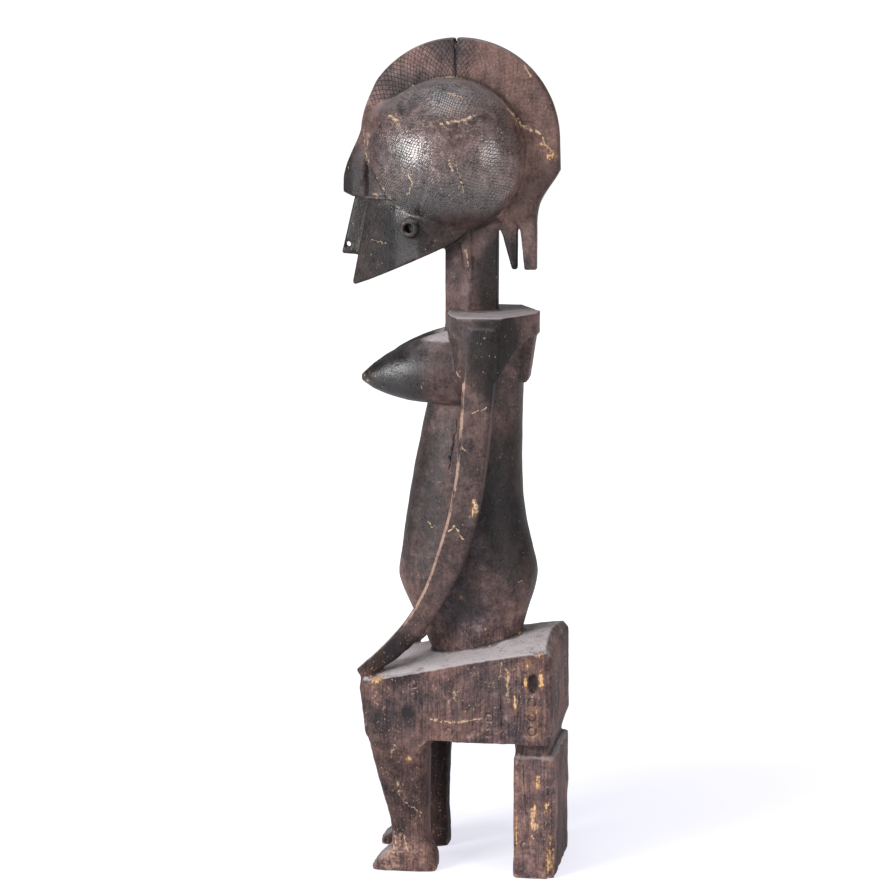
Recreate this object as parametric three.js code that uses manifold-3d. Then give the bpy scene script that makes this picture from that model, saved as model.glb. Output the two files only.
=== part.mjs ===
// Seated female figure, carved from one block of wood together with its seat.
// Millimetres, +Z up. The figure faces -Y and its left side is +X.
import * as THREE from 'three';
import { mergeVertices } from 'three/addons/utils/BufferGeometryUtils.js';
import Module from 'manifold-3d';

const wasm = await Module();
wasm.setup();

// Seat, rear post and legs
const seatWidth = 121;
const seatBackY = 98.5;
const kneeFrontY = -61;
const seatUnderZ = 116;
const seatTopBackZ = 194;
const seatTopFrontZ = 160;
const seatCornerRadius = 8;
const seatCrown = 8;
const kneeGapWidth = 26;
const kneeGapDepth = 26;
const postWidth = 94;
const postDepth = 34;
const postInset = 1.5;
const postNotchHeight = 14;
const postNotchDepth = 3.5;
const postGrooveDepth = 6;
const postEdge = 3;
const rightLegBack = 4.5;
const rightFootBack = -1;
const rightFootLonger = 5;
const legWidth = 36;
const legSideInset = 1.5;
const ankleWidth = 28;
const ankleSideInset = 13;
const ankleZ = 40;
const ankleDepth = 31;
const footLength = 52;
const footWidth = 33;
const footHeight = 30;
const toeCount = 5;
const toeCutWidth = 1.8;
const toeCutDepth = 5;

// Trunk
const trunkTopZ = 455;
const bellyZ = 247;
const bellyFrontY = -36;
const bellyBackY = 79;
const bellyWidth = 80;
const chestWidth = 62;
const chestFrontY = 4;
const chestBackY = 68;
const hipWidth = 66;
const breastTipY = -61;
const breastTipZ = 409;
const breastRadius = 30.5;
const breastSpread = 30;
const breastTipSpread = 32;

// Shoulders and arms
const shoulderTopZ = 461;
const shoulderWidth = 121;
const shoulderFrontY = 25;
const shoulderBackY = 54;
const shoulderBevel = 16;
const yokeFrontY = 5;
const yokeFrontWidth = 34;
const spineBackY = 78.5;
const spineWidth = 19;
const spineUnderZ = 404;
const wingUnderInnerZ = 443;
const wingUnderOuterZ = 410;
const armThickness = 20;
const armBandWidth = 25.5;
const armEdge = 2.6;
const elbowBulge = 4.5;
const handThickness = 14;
const handBandWidth = 10.5;
const handRise = 6;
const handInset = 6;
const rightHandBack = 14;

// Neck and head
const neckCentreY = 24;
const neckDepth = 43;
const neckWidth = 34;
const crestCentreY = 13;
const crestCentreZ = 598.4;
const crestRadius = 81.6;
const crestHeelY = 95.5;
const crestHeelZ = 575;
const crestThickness = 15;
const crestBevel = 2;
const crackWidth = 2.4;
const crackDepth = 30;
const lobeCentreY = 6;
const lobeCentreZ = 585.5;
const lobeRadius = 62.5;
const lobeHeight = 46;
const lobeSeatX = 11;
const lobeHorn = 12;
const plaitThickness = 21;
const tailUnderZ = 495;
const tailDepth = 9.5;
const tailThickness = 11;
const napeTailThickness = 10;
const tressWidth = 9;
const tressSpread = 17;
const browFrontY = -80;
const browUnderZ = 553;
const browWidth = 58;
const faceFrontTopY = -58;
const chinY = -73;
const chinZ = 481;
const chinWidth = 20;
const cheekWidth = 78;
const jawBackY = 16;
const jawBackZ = 520;
const noseThickness = 10;
const noseTipY = -83;
const noseUnderZ = 506;
const noseBore = 5;
const earY = -19;
const earZ = 530;
const earDiameter = 15;
const earBore = 8;
const earLength = 9;
const earBoreDepth = 8;
const earForwardTurn = 8;

const woodColour = 0x4b403c;
const point = (y, z) => new THREE.Vector2(y, z);

// A closed three.js geometry as a solid
function solid(geometry) {
  const bare = geometry.clone();
  bare.deleteAttribute('normal');
  bare.deleteAttribute('uv');
  bare.clearGroups();
  const merged = mergeVertices(bare, 1e-4);
  return new wasm.Manifold(new wasm.Mesh({
    numProp: 3,
    vertProperties: Float32Array.from(merged.attributes.position.array),
    triVerts: Uint32Array.from(merged.index.array),
  }));
}

function joined(parts) {
  return parts.reduce((whole, part) => whole.add(part));
}

// The same form on the right side of the figure
function withMirror(form) {
  return form.add(form.mirror([1, 0, 0]));
}

// An outline in the YZ plane, pushed out to both sides of X = middle
function sideCut(outline, width, middle = 0, curveSegments = 12, bevel = 0) {
  const geometry = new THREE.ExtrudeGeometry(new THREE.Shape(outline), {
    depth: width - 2 * bevel,
    bevelEnabled: bevel > 0,
    bevelThickness: bevel,
    bevelSize: bevel,
    bevelOffset: -bevel,
    bevelSegments: 1,
    curveSegments,
  });
  geometry.translate(0, 0, bevel - width / 2);
  geometry.applyMatrix4(new THREE.Matrix4().set(
    0, 0, 1, middle,
    1, 0, 0, 0,
    0, 1, 0, 0,
    0, 0, 0, 1,
  ));
  return solid(geometry);
}

// An outline in the XY plane, raised from one height to another
function planCut(outline, fromZ, toZ) {
  const geometry = new THREE.ExtrudeGeometry(new THREE.Shape(outline), {
    depth: toZ - fromZ,
    bevelEnabled: false,
  });
  geometry.translate(0, 0, fromZ);
  return solid(geometry);
}

// An outline in the XZ plane, carried from one depth to another
function frontCut(outline, fromY, toY) {
  const geometry = new THREE.ExtrudeGeometry(new THREE.Shape(outline), {
    depth: toY - fromY,
    bevelEnabled: false,
  });
  geometry.applyMatrix4(new THREE.Matrix4().set(
    1, 0, 0, 0,
    0, 0, -1, toY,
    0, 1, 0, 0,
    0, 0, 0, 1,
  ));
  return solid(geometry);
}

// Both halves of an outline given for X >= 0, from bottom centre to top centre
function bothSides(half) {
  const other = half.filter((p) => p.x > 0).reverse();
  return [...half, ...other.map((p) => point(-p.x, p.y))];
}

// A skin over rings of points: ringAt(t) gives them anticlockwise about the way t grows
function skin(sides, rows, ringAt) {
  const geometry = new THREE.CylinderGeometry(1, 1, 1, sides, rows);
  const position = geometry.attributes.position;
  const rings = Array.from({ length: rows + 1 }, (_, row) => ringAt(row / rows));
  for (let i = 0; i < position.count; i += 1) {
    const x = position.getX(i);
    const z = position.getZ(i);
    const ring = rings[Math.round((position.getY(i) + 0.5) * rows)];
    if (Math.hypot(x, z) < 0.5) {
      const middle = ring.reduce((sum, p) => sum.add(p), new THREE.Vector3()).divideScalar(sides);
      position.setXYZ(i, middle.x, middle.y, middle.z);
    } else {
      const turn = Math.round((Math.atan2(x, z) / (2 * Math.PI)) * sides);
      const p = ring[(turn + sides) % sides];
      position.setXYZ(i, p.x, p.y, p.z);
    }
  }
  return solid(geometry);
}

// A level ring between two widths and two depths; squareness 1 is an ellipse, less is boxier
function levelRing(sides, middleX, halfWidth, frontY, backY, z, squareness) {
  const round = (value) => Math.sign(value) * Math.abs(value) ** squareness;
  return Array.from({ length: sides }, (_, i) => {
    const turn = (2 * Math.PI * (i + 0.5)) / sides;
    return new THREE.Vector3(
      middleX + halfWidth * round(Math.cos(turn)),
      (frontY + backY) / 2 + ((backY - frontY) / 2) * round(Math.sin(turn)),
      z,
    );
  });
}

// A value read off a smooth line through (key, value) stops
function along(stops, key) {
  const last = stops.length - 1;
  const at = Math.min(Math.max(stops.findIndex((s) => s[0] >= key), 1), last);
  const [k0, v0] = stops[at - 1];
  const [k1, v1] = stops[at];
  const slope = (i) => {
    const a = stops[Math.max(i - 1, 0)];
    const b = stops[Math.min(i + 1, last)];
    return (b[1] - a[1]) / (b[0] - a[0]);
  };
  const span = k1 - k0;
  const t = THREE.MathUtils.clamp((key - k0) / span, 0, 1);
  const m0 = slope(at - 1) * span;
  const m1 = slope(at) * span;
  return (2 * t ** 3 - 3 * t ** 2 + 1) * v0 + (t ** 3 - 2 * t ** 2 + t) * m0
    + (3 * t ** 2 - 2 * t ** 3) * v1 + (t ** 3 - t ** 2) * m1;
}

// Height of the seat's top along its side edges, rising to the back
function seatTopAt(y) {
  const share = THREE.MathUtils.clamp((y - kneeFrontY) / (seatBackY - kneeFrontY), 0, 1);
  const rise = 0.75 * share + 0.25 * Math.sin(share * Math.PI / 2);
  return seatTopFrontZ + (seatTopBackZ - seatTopFrontZ) * rise;
}

// Seat block with the thighs: side, plan and front outlines cut from one block, the top slightly domed
function seat() {
  const steps = 8;
  const topEndY = seatBackY - seatCornerRadius;
  const top = Array.from({ length: steps + 1 }, (_, i) => {
    const y = THREE.MathUtils.lerp(kneeFrontY + 3, topEndY, i / steps);
    return point(y, seatTopAt(y) + seatCrown);
  });
  const side = sideCut([
    point(kneeFrontY + legFrontAt(seatUnderZ - 6) + 1, seatUnderZ - 6),
    point(kneeFrontY, seatTopFrontZ - 5),
    ...top,
    point(seatBackY - 4.5, seatTopBackZ - 1),
    point(seatBackY - 1.2, seatTopBackZ - 5),
    point(seatBackY, seatTopBackZ - seatCornerRadius - 2),
    point(seatBackY + 1, seatUnderZ + 6),
    point(seatBackY - 1, seatUnderZ),
    point(kneeFrontY + 59, seatUnderZ),
    point(kneeFrontY + 53, seatUnderZ - 6),
  ], seatWidth);
  const half = seatWidth / 2;
  const r = seatCornerRadius;
  const plan = planCut(bothSides([
    point(0, kneeFrontY - 1),
    point(half - r - 5, kneeFrontY - 1),
    point(half - 3, kneeFrontY + 6),
    point(half - 0.5, kneeFrontY + 20),
    point(half, kneeFrontY + 45),
    point(half, seatBackY - r),
    point(half - 0.3 * r, seatBackY - 0.3 * r),
    point(half - r, seatBackY + 1.5),
    point(0, seatBackY + 1.5),
  ]), 0, seatTopBackZ + 20);
  const dome = [1, 0.86, 0.66, 0.4, 0].map((share) => [half * share, seatCrown * (1 - share ** 2)]);
  const across = [...dome, ...dome.slice(0, -1).reverse().map(([x, z]) => [-x, z])];
  const crown = skin(across.length + 2, 4, (t) => {
    const y = THREE.MathUtils.lerp(seatBackY + 5, kneeFrontY - 5, t);
    const overTop = across.map(([x, z]) => new THREE.Vector3(x * 1.02, y, seatTopAt(y) + z));
    const under = [-half - 2, half + 2].map((x) => new THREE.Vector3(x, y, 0));
    return [...overTop, ...under];
  });
  return side.intersect(plan).intersect(crown);
}

// The gap between the knees, in front of the lap
function kneeGap() {
  const half = kneeGapWidth / 2;
  return planCut([
    point(-half - 2, kneeFrontY - 10),
    point(half + 2, kneeFrontY - 10),
    point(half - 3, kneeFrontY + kneeGapDepth),
    point(3 - half, kneeFrontY + kneeGapDepth),
  ], 0, seatTopBackZ + 10);
}

// How far the front of the leg lies behind the knee at a height
function legFrontAt(z) {
  const share = (seatTopFrontZ - Math.max(z, ankleZ)) / seatTopFrontZ;
  return 18 * share + 20.5 * share ** 2;
}

function leg() {
  const sides = 16;
  const half = seatWidth / 2;
  const ankleFrontY = kneeFrontY + legFrontAt(ankleZ);
  const ankleSide = half - ankleSideInset;
  const kneeSide = half - legSideInset;
  const ankleBackY = ankleFrontY + ankleDepth;
  const kneeBackY = kneeFrontY + 58;
  const topZ = seatUnderZ + 20;
  const outer = [[0, ankleSide], [ankleZ, ankleSide], [seatUnderZ, kneeSide], [topZ, kneeSide]];
  const width = [[0, ankleWidth], [ankleZ, ankleWidth], [seatUnderZ, legWidth], [topZ, legWidth]];
  const back = [[0, ankleBackY + 2], [ankleZ, ankleBackY], [seatUnderZ, kneeBackY], [topZ, kneeBackY]];
  return skin(sides, 8, (t) => {
    const z = THREE.MathUtils.lerp(16, seatUnderZ + 20, t);
    const halfWidth = along(width, z) / 2;
    const middleX = along(outer, z) - halfWidth;
    return levelRing(sides, middleX, halfWidth, kneeFrontY + legFrontAt(z), along(back, z), z, 0.55);
  });
}

// A foot, broad and rounded at the toes, with short cuts between the toes
function foot(length) {
  const sides = 20;
  const rows = 9;
  const heelY = kneeFrontY + legFrontAt(0) + ankleDepth + 6;
  const middleX = seatWidth / 2 - ankleSideInset - ankleWidth / 2;
  const body = skin(sides, rows, (t) => {
    const y = heelY - length * t;
    const wide = footWidth / 2;
    const half = along([[0, 9], [0.1, 12], [0.3, 14.5], [0.7, wide], [0.9, wide - 1], [1, 13]], t);
    const top = along([
      [0, 17], [0.12, 28], [0.5, footHeight], [0.66, 24], [0.8, 17], [0.93, 11], [1, 6],
    ], t);
    return Array.from({ length: sides }, (_, i) => {
      const turn = (2 * Math.PI * (i + 0.5)) / sides;
      const across = Math.sign(Math.cos(turn)) * Math.abs(Math.cos(turn)) ** 0.6;
      const up = Math.sin(turn);
      const z = up > 0 ? 5 + (top - 5) * up ** 0.8 : Math.max(0, 5 + 9 * up);
      return new THREE.Vector3(middleX + half * across, y, z);
    });
  });
  const pitch = (footWidth - 5) / toeCount;
  const cuts = Array.from({ length: toeCount - 1 }, (_, i) => {
    const wedge = new THREE.BoxGeometry(toeCutWidth, 2 * toeCutDepth, footHeight);
    const side = i - (toeCount - 2) / 2;
    const back = Math.abs(side) * 1.2;
    wedge.translate(middleX + side * pitch, heelY - length + back, footHeight / 2 - 1);
    return solid(wedge);
  });
  return body.subtract(joined(cuts));
}

// The rear post, with a notch cut round it under the seat and a V groove across its back
function post() {
  const backY = seatBackY + postInset;
  const frontY = backY - postDepth;
  const notchZ = seatUnderZ - postNotchHeight;
  const half = postWidth / 2;
  const e = postEdge;
  const column = planCut(bothSides([
    point(0, frontY),
    point(half - e, frontY),
    point(half, frontY + e),
    point(half, backY - e),
    point(half - e, backY),
    point(0, backY),
  ]), 0, notchZ);
  const neckBlock = sideCut([
    point(frontY + 1, notchZ - 2),
    point(backY - 2, notchZ - 2),
    point(backY - postGrooveDepth, notchZ + 0.12 * postNotchHeight),
    point(seatBackY - 1, seatUnderZ + 1),
    point(seatBackY - 1, seatUnderZ + 10),
    point(frontY + 1, seatUnderZ + 10),
  ], postWidth - 2 * postNotchDepth);
  return column.add(neckBlock);
}

// Trunk: slender at the chest, swelling to a ridge at the belly, drawn in again above the seat
function trunk() {
  const sides = 28;
  const baseZ = seatTopFrontZ - 6;
  const front = [
    [baseZ, 0], [bellyZ - 66, -7.5], [bellyZ - 50, -15.5], [bellyZ - 32, -25], [bellyZ - 9, -35],
    [bellyZ, bellyFrontY], [bellyZ + 16, bellyFrontY + 2], [bellyZ + 65, -27],
    [trunkTopZ - 76, -14], [trunkTopZ, chestFrontY],
  ];
  const back = [
    [baseZ, 65], [bellyZ - 44, 67.5], [bellyZ - 18, 76], [bellyZ, bellyBackY],
    [bellyZ + 14, bellyBackY - 2.5], [bellyZ + 35, 71], [bellyZ + 64, 66.5],
    [bellyZ + 109, 65.5], [trunkTopZ, chestBackY],
  ];
  const width = [
    [baseZ, hipWidth / 2 - 3], [bellyZ - 45, hipWidth / 2], [bellyZ - 4, bellyWidth / 2],
    [bellyZ + 6, bellyWidth / 2], [bellyZ + 70, 35], [trunkTopZ - 80, chestWidth / 2],
    [trunkTopZ, chestWidth / 2],
  ];
  const rises = [-70, -48, -30, -16, -6, 0, 7, 20, 40, 65, 95, 130, 165];
  const levels = [baseZ, ...rises.map((rise) => bellyZ + rise), trunkTopZ];
  return skin(sides, levels.length - 1, (t) => {
    const z = levels[Math.round(t * (levels.length - 1))];
    return levelRing(sides, 0, along(width, z), along(front, z), along(back, z), z, 0.86);
  });
}

// A pointed breast, fuller below, standing out from the chest
function breast() {
  const sides = 24;
  const rows = 9;
  const rootY = chestFrontY + 24;
  const rootZ = breastTipZ + 10.5;
  return skin(sides, rows, (t) => {
    const y = THREE.MathUtils.lerp(rootY, breastTipY, t);
    const swell = Math.max(1 - t ** 2.1, 0) ** 0.7;
    const radius = Math.max(breastRadius * swell, 2.6);
    const z = THREE.MathUtils.lerp(rootZ, breastTipZ, t ** 1.15);
    const x = THREE.MathUtils.lerp(breastSpread - 4, breastTipSpread, t);
    return Array.from({ length: sides }, (_, i) => {
      const turn = (2 * Math.PI * i) / sides;
      return new THREE.Vector3(x + 0.86 * radius * Math.cos(turn), y, z + radius * Math.sin(turn));
    });
  });
}

// Shoulder yoke: a level slab whose plan runs back to a narrow block over the spine
function yoke() {
  const half = shoulderWidth / 2;
  const plan = planCut(bothSides([
    point(0, yokeFrontY),
    point(yokeFrontWidth / 2, yokeFrontY + 1),
    point(half * 0.72, yokeFrontY + 9),
    point(half - 4, shoulderFrontY - 4),
    point(half, shoulderFrontY + 3),
    point(half, shoulderBackY - 1),
    point(half - 2, shoulderBackY + 1),
    point(spineWidth / 2, spineBackY),
    point(0, spineBackY),
  ]), wingUnderOuterZ - 4, shoulderTopZ);
  const inner = spineWidth / 2;
  const arch = Array.from({ length: 7 }, (_, i) => {
    const share = i / 6;
    const fall = (wingUnderInnerZ - wingUnderOuterZ) * share ** 1.7;
    return point(THREE.MathUtils.lerp(inner, half, share), wingUnderInnerZ - fall);
  });
  const front = frontCut(bothSides([
    point(0, wingUnderInnerZ),
    ...arch,
    point(half + 0.5, shoulderTopZ - shoulderBevel),
    point(half - 7, shoulderTopZ),
    point(0, shoulderTopZ),
  ]), yokeFrontY - 5, spineBackY + 5);
  const spine = sideCut([
    point(chestBackY - 12, spineUnderZ + 2),
    point(spineBackY - 9, spineUnderZ),
    point(spineBackY - 7, spineUnderZ + 4),
    point(spineBackY, shoulderTopZ - 4),
    point(spineBackY - 1, shoulderTopZ),
    point(chestBackY - 12, shoulderTopZ),
  ], spineWidth);
  return plan.intersect(front).add(spine);
}

// A flat band of an arm, straight down from the shoulder and curving forward to the knee
function arm(handBack) {
  const outerX = shoulderWidth / 2;
  const shoulderMiddleY = (shoulderFrontY + shoulderBackY) / 2 + 0.8;
  const handZ = seatTopFrontZ + handRise;
  const drop = shoulderTopZ - handZ;
  const reach = shoulderMiddleY - kneeFrontY - 1.5 - handBack;
  const shape = [
    [0.03, 0], [0.18, 0.02], [0.4, 0.07], [0.55, 0.145], [0.7, 0.285],
    [0.783, 0.405], [0.868, 0.577], [0.914, 0.7], [0.962, 0.86], [1, 1],
  ];
  const path = new THREE.CatmullRomCurve3(shape.map(([down, forward]) => {
    const bow = elbowBulge * Math.sin(Math.PI * Math.min(down, 1) ** 1.1);
    const handIn = handInset * Math.max(down - 0.75, 0) / 0.25;
    return new THREE.Vector3(outerX - armThickness / 2 + bow - handIn,
      shoulderMiddleY - reach * forward, shoulderTopZ - drop * down);
  }));
  const rows = 20;
  const band = [
    [0, armBandWidth + 1], [0.35, armBandWidth - 2], [0.6, armBandWidth - 2],
    [0.7, 20], [0.82, 17], [0.93, 14], [1, handBandWidth],
  ];
  const thick = [[0, armThickness], [0.5, armThickness], [0.8, 17], [1, handThickness]];
  return skin(8, rows, (t) => {
    const middle = path.getPointAt(t);
    const ahead = path.getTangentAt(t);
    const across = new THREE.Vector3(0, ahead.z, -ahead.y).normalize();
    const b = along(band, t) / 2;
    const w = along(thick, t) / 2;
    const e = armEdge * (1 - 0.2 * t);
    const half = [[w, e - b], [w, b - e], [w - e, b], [e - w, b]];
    const ring = [...half, ...half.map(([x, y]) => [-x, -y])];
    return ring.map(([x, y]) => {
      const offset = across.clone().multiplyScalar(y);
      return new THREE.Vector3(middle.x + x, middle.y + offset.y, middle.z + offset.z);
    });
  });
}

// Neck of lozenge section, an edge to each side
function neck() {
  const halfDepth = neckDepth / 2;
  const halfWidth = neckWidth / 2;
  const cut = 5;
  return planCut(bothSides([
    point(0, neckCentreY - halfDepth),
    point(cut, neckCentreY - halfDepth),
    point(halfWidth, neckCentreY - 1),
    point(halfWidth, neckCentreY + 1),
    point(cut, neckCentreY + halfDepth),
    point(0, neckCentreY + halfDepth),
  ]), shoulderTopZ - 20, lobeCentreZ);
}

// Crest: an upright disc running front to back, drawn down at the back into a tail
function crest() {
  const outline = new THREE.Path();
  outline.moveTo(crestHeelY - 3, crestHeelZ - 6);
  outline.lineTo(crestHeelY, crestHeelZ);
  outline.absarc(crestCentreY, crestCentreZ, crestRadius, 0.03, Math.PI * 0.96, false);
  outline.lineTo(crestCentreY - 40, lobeCentreZ - 40);
  outline.lineTo(neckCentreY, lobeCentreZ - 50);
  outline.lineTo(tailFrontY() - 4, lobeCentreZ - 52);
  outline.lineTo(tailFrontY() - 1, lobeCentreZ - 60);
  outline.lineTo(tailFrontY() + 2, tailUnderZ);
  outline.lineTo(tailFrontY() + 2 + tailDepth, tailUnderZ);
  outline.lineTo(tailFrontY() + 2 + tailDepth, tailUnderZ + 39);
  outline.lineTo(tailFrontY() + 4 + tailDepth, tailUnderZ + 52);
  outline.lineTo(tailFrontY() + 9 + tailDepth, tailUnderZ + 61);
  const fin = sideCut(outline.getPoints(28), crestThickness, 0, 28, crestBevel);
  return fin.subtract(tailTrim());
}

function tailFrontY() {
  return crestCentreY + crestRadius - 29.5;
}

// The tail is thinner than the crest above it
function tailTrim() {
  const box = new THREE.BoxGeometry(crestThickness, 40, 50);
  box.translate(tailThickness / 2 + crestThickness / 2, tailFrontY() + 5, tailUnderZ + 12);
  return withMirror(solid(box));
}

// The thicker plait that gathers on each side of the crest behind the lobe
function plait() {
  const topZ = crestCentreZ - 4;
  const back = crestCentreY + crestRadius;
  const outline = [
    point(tailFrontY() + 1.5, tailUnderZ + 10),
    point(tailFrontY() + tailDepth + 1, tailUnderZ + 10),
    point(tailFrontY() + tailDepth + 1.5, tailUnderZ + 42),
    point(back - 15, tailUnderZ + 60),
    point(back - 8, topZ - 18),
    point(back - 6, topZ - 5),
    point(back - 13, topZ + 4),
    point(back - 17, topZ + 11),
    point(back - 31, topZ + 16),
    point(back - 50, topZ + 20),
    point(back - 50, lobeCentreZ - 44),
    point(tailFrontY() - 4, lobeCentreZ - 52),
    point(tailFrontY() - 1, lobeCentreZ - 60),
  ];
  const side = sideCut(outline, plaitThickness);
  const half = plaitThickness / 2;
  const taper = frontCut(bothSides([
    point(0, tailUnderZ),
    point(tailThickness / 2 - 1, tailUnderZ + 8),
    point(tailThickness / 2 + 2, tailUnderZ + 38),
    point(half, tailUnderZ + 62),
    point(half, topZ + 4),
    point(half - 2.6, topZ + 22),
    point(0, topZ + 22),
  ]), 0, back + 5);
  return side.intersect(taper);
}

// A pointed tail at the nape, between the neck and the tail of the crest
function napeTail() {
  const frontY = neckCentreY + neckDepth / 2 + 1.8;
  return sideCut([
    point(frontY - 4, lobeCentreZ - 50),
    point(frontY + 2, tailUnderZ + 27),
    point(frontY + 5.5, tailUnderZ + 14),
    point(frontY + 9.5, tailUnderZ),
    point(frontY + 14, tailUnderZ),
    point(frontY + 14, lobeCentreZ - 54),
    point(frontY + 15, lobeCentreZ - 40),
    point(frontY - 4, lobeCentreZ - 40),
  ], napeTailThickness, 0, 1, 1.5);
}

// A narrow tress lying down the side of the neck
function sideTress() {
  const frontY = jawBackY;
  return sideCut([
    point(frontY, lobeCentreZ - 50),
    point(frontY, lobeCentreZ - 62),
    point(frontY + 4, lobeCentreZ - 84),
    point(frontY + 8, lobeCentreZ - 98),
    point(frontY + 11, lobeCentreZ - 98),
    point(frontY + 1 + tressWidth, lobeCentreZ - 62),
    point(frontY + 1 + tressWidth, lobeCentreZ - 50),
  ], 10, tressSpread - 2, 1, 0.8);
}

// A domed lobe of hair on the side of the head, drawn to a point at the front
function lobe() {
  const geometry = new THREE.SphereGeometry(1, 40, 22);
  geometry.rotateZ(Math.PI / 2);
  const position = geometry.attributes.position;
  for (let i = 0; i < position.count; i += 1) {
    const y = position.getY(i);
    const z = position.getZ(i);
    const turn = Math.atan2(z, -y);
    const edge = Math.hypot(y, z);
    const horn = lobeHorn * Math.exp(-(((turn - 0.39) / 0.3) ** 2));
    const flat = 5.5 * Math.exp(-(((turn + 0.75) / 0.4) ** 2));
    const reach = lobeRadius + (horn - flat) * edge ** 3;
    const x = lobeSeatX + lobeHeight * position.getX(i);
    position.setXYZ(i, x, lobeCentreY + reach * y, lobeCentreZ + reach * z);
  }
  return solid(geometry);
}

// The wedge of the face and jaw: side, front and plan outlines cut from one block
function face() {
  const half = cheekWidth / 2;
  const side = sideCut([
    point(chinY + 1, chinZ),
    point(chinY + 15, chinZ + 5),
    point(chinY + 39, chinZ + 15),
    point(chinY + 75, chinZ + 31),
    point(jawBackY, jawBackZ),
    point(jawBackY + 14, jawBackZ + 12),
    point(jawBackY + 14, lobeCentreZ + 10),
    point(faceFrontTopY, lobeCentreZ + 26),
    point(faceFrontTopY, browUnderZ - 2),
    point(chinY, chinZ + 3),
  ], cheekWidth);
  const front = frontCut(bothSides([
    point(0, chinZ - 5),
    point(half - 1, chinZ - 5),
    point(half, jawBackZ + 14),
    point(half - 5, lobeCentreZ + 40),
    point(0, lobeCentreZ + 40),
  ]), chinY - 20, jawBackY + 40);
  const plan = planCut(bothSides([
    point(0, chinY - 5),
    point(chinWidth / 2 - 2, chinY - 2),
    point(chinWidth / 2 + 6, faceFrontTopY - 3),
    point(half - 6, faceFrontTopY + 26),
    point(half, earY + 6),
    point(half - 2, earY + 18),
    point(half - 9, jawBackY - 1),
    point(neckWidth / 2, jawBackY + 20),
    point(0, jawBackY + 20),
  ]), chinZ - 10, lobeCentreZ + 50);
  return side.intersect(front).intersect(plan);
}

// The overhanging forehead, rounded in plan and narrowing up between the lobes
function brow() {
  const half = browWidth / 2;
  const side = sideCut([
    point(faceFrontTopY + 24, browUnderZ - 1),
    point(faceFrontTopY - 1, browUnderZ - 1),
    point(browFrontY + 10, browUnderZ + 1),
    point(browFrontY + 1, browUnderZ + 4),
    point(browFrontY, browUnderZ + 9),
    point(browFrontY + 4.5, browUnderZ + 28),
    point(browFrontY + 11, browUnderZ + 42),
    point(browFrontY + 17, browUnderZ + 60),
    point(browFrontY + 24, browUnderZ + 70),
    point(faceFrontTopY + 24, browUnderZ + 72),
  ], browWidth + 20);
  const plan = planCut(bothSides([
    point(0, browFrontY - 1),
    point(half * 0.3, browFrontY - 0.5),
    point(half * 0.62, browFrontY + 2),
    point(half * 0.85, browFrontY + 10),
    point(half * 0.95, faceFrontTopY),
    point(half + 8, faceFrontTopY + 26),
    point(0, faceFrontTopY + 26),
  ]), browUnderZ - 10, browUnderZ + 100);
  const front = frontCut(bothSides([
    point(0, browUnderZ - 10),
    point(half + 7, browUnderZ - 10),
    point(half + 6, browUnderZ + 20),
    point(half - 2, browUnderZ + 36),
    point(half - 10, browUnderZ + 50),
    point(half - 19, browUnderZ + 62),
    point(0, browUnderZ + 70),
  ]), browFrontY - 5, faceFrontTopY + 30);
  return side.intersect(plan).intersect(front);
}

// The slab of the nose, pierced from side to side near its lower end
function nose() {
  return sideCut([
    point(noseTipY, noseUnderZ + 1),
    point(noseTipY + 1, noseUnderZ),
    point(chinY + 6, noseUnderZ - 1),
    point(faceFrontTopY + 6, noseUnderZ + 6),
    point(faceFrontTopY + 6, browUnderZ + 10),
    point(browFrontY + 8.5, browUnderZ + 2),
  ], noseThickness, 0, 1, 1.2);
}

function noseHole() {
  const bore = new THREE.CylinderGeometry(noseBore / 2, noseBore / 2, 4 * noseThickness, 20);
  bore.rotateZ(Math.PI / 2);
  bore.translate(0, noseTipY + 5.2, noseUnderZ + 7.6);
  return solid(bore);
}

// An ear: a short tube standing on the cheek
function earTube(diameter, fromOut, toOut) {
  const tube = new THREE.CylinderGeometry(diameter / 2, diameter / 2, toOut - fromOut, 24);
  tube.translate(0, (fromOut + toOut) / 2, 0);
  tube.rotateZ(-Math.PI / 2);
  tube.rotateZ(-THREE.MathUtils.degToRad(earForwardTurn));
  tube.translate(cheekWidth / 2 - 2, earY, earZ);
  return solid(tube);
}

function ears() {
  const rim = earTube(earDiameter, -12, earLength - 1).add(earTube(earDiameter - 2, -12, earLength));
  return withMirror(rim);
}

function earBores() {
  return withMirror(earTube(earBore, earLength - earBoreDepth, earLength + 5));
}

// The drying crack that splits the crest from its rim down to the lobes
function crack() {
  const steps = 5;
  const topZ = crestCentreZ + crestRadius + 2;
  const wander = (i) => crestCentreY - 3 + 1.2 * i + 0.9 * Math.sin(i * 2.1);
  const width = (i) => crackWidth * (1 - 0.85 * (i / steps)) / 2;
  const zAt = (i) => topZ - ((crackDepth + 2) * i) / steps;
  const indices = Array.from({ length: steps + 1 }, (_, i) => i);
  const down = indices.map((i) => point(wander(i) - width(i), zAt(i)));
  const up = indices.reverse().map((i) => point(wander(i) + width(i), zAt(i)));
  return sideCut([...down, ...up], crestThickness + 4);
}

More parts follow.
